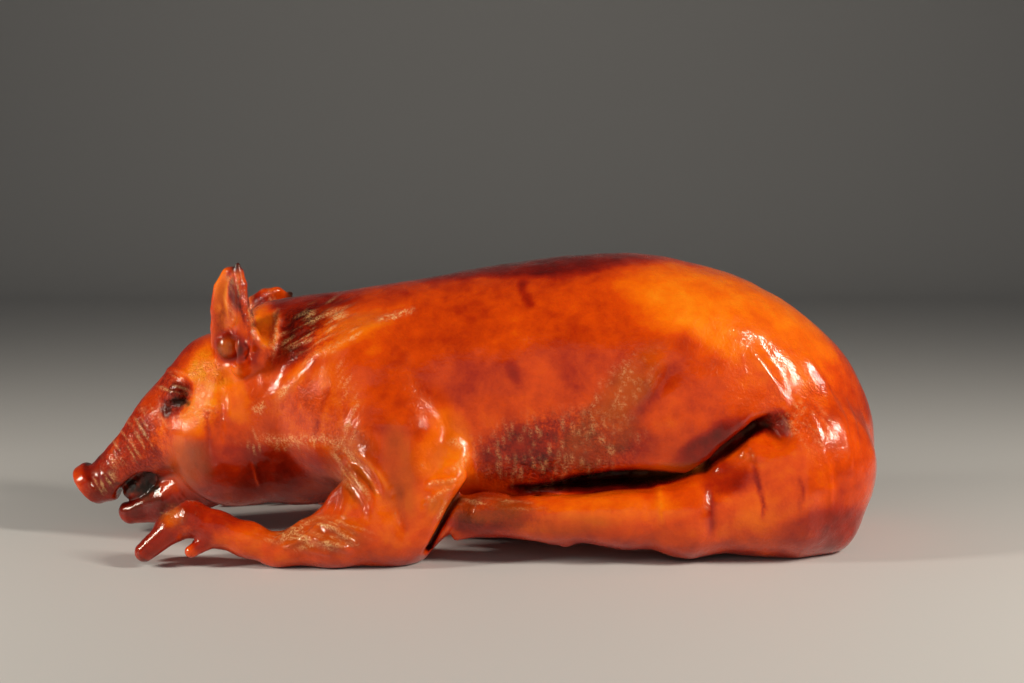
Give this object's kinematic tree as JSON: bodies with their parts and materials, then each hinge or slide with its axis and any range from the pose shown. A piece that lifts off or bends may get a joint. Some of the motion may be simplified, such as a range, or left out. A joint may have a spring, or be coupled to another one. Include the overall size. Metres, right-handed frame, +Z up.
{
  "type": "whole roast pig",
  "caption": "Whole roasted young pig lying on its folded legs, head low and mouth open, with glazed orange-brown skin.",
  "frame": {"origin": "centre of the pig's outline seen from above, on the surface that it lies on", "axes": "+X from the snout to the rump, +Z up, -Y towards the side that the picture shows"},
  "size_m": [0.5004, 0.202, 0.1761],
  "materials": {
    "roast_skin": "gloss"
  },
  "bodies": {
    "root": {"roast_pig": "roast_skin"}
  },
  "joints": []
}
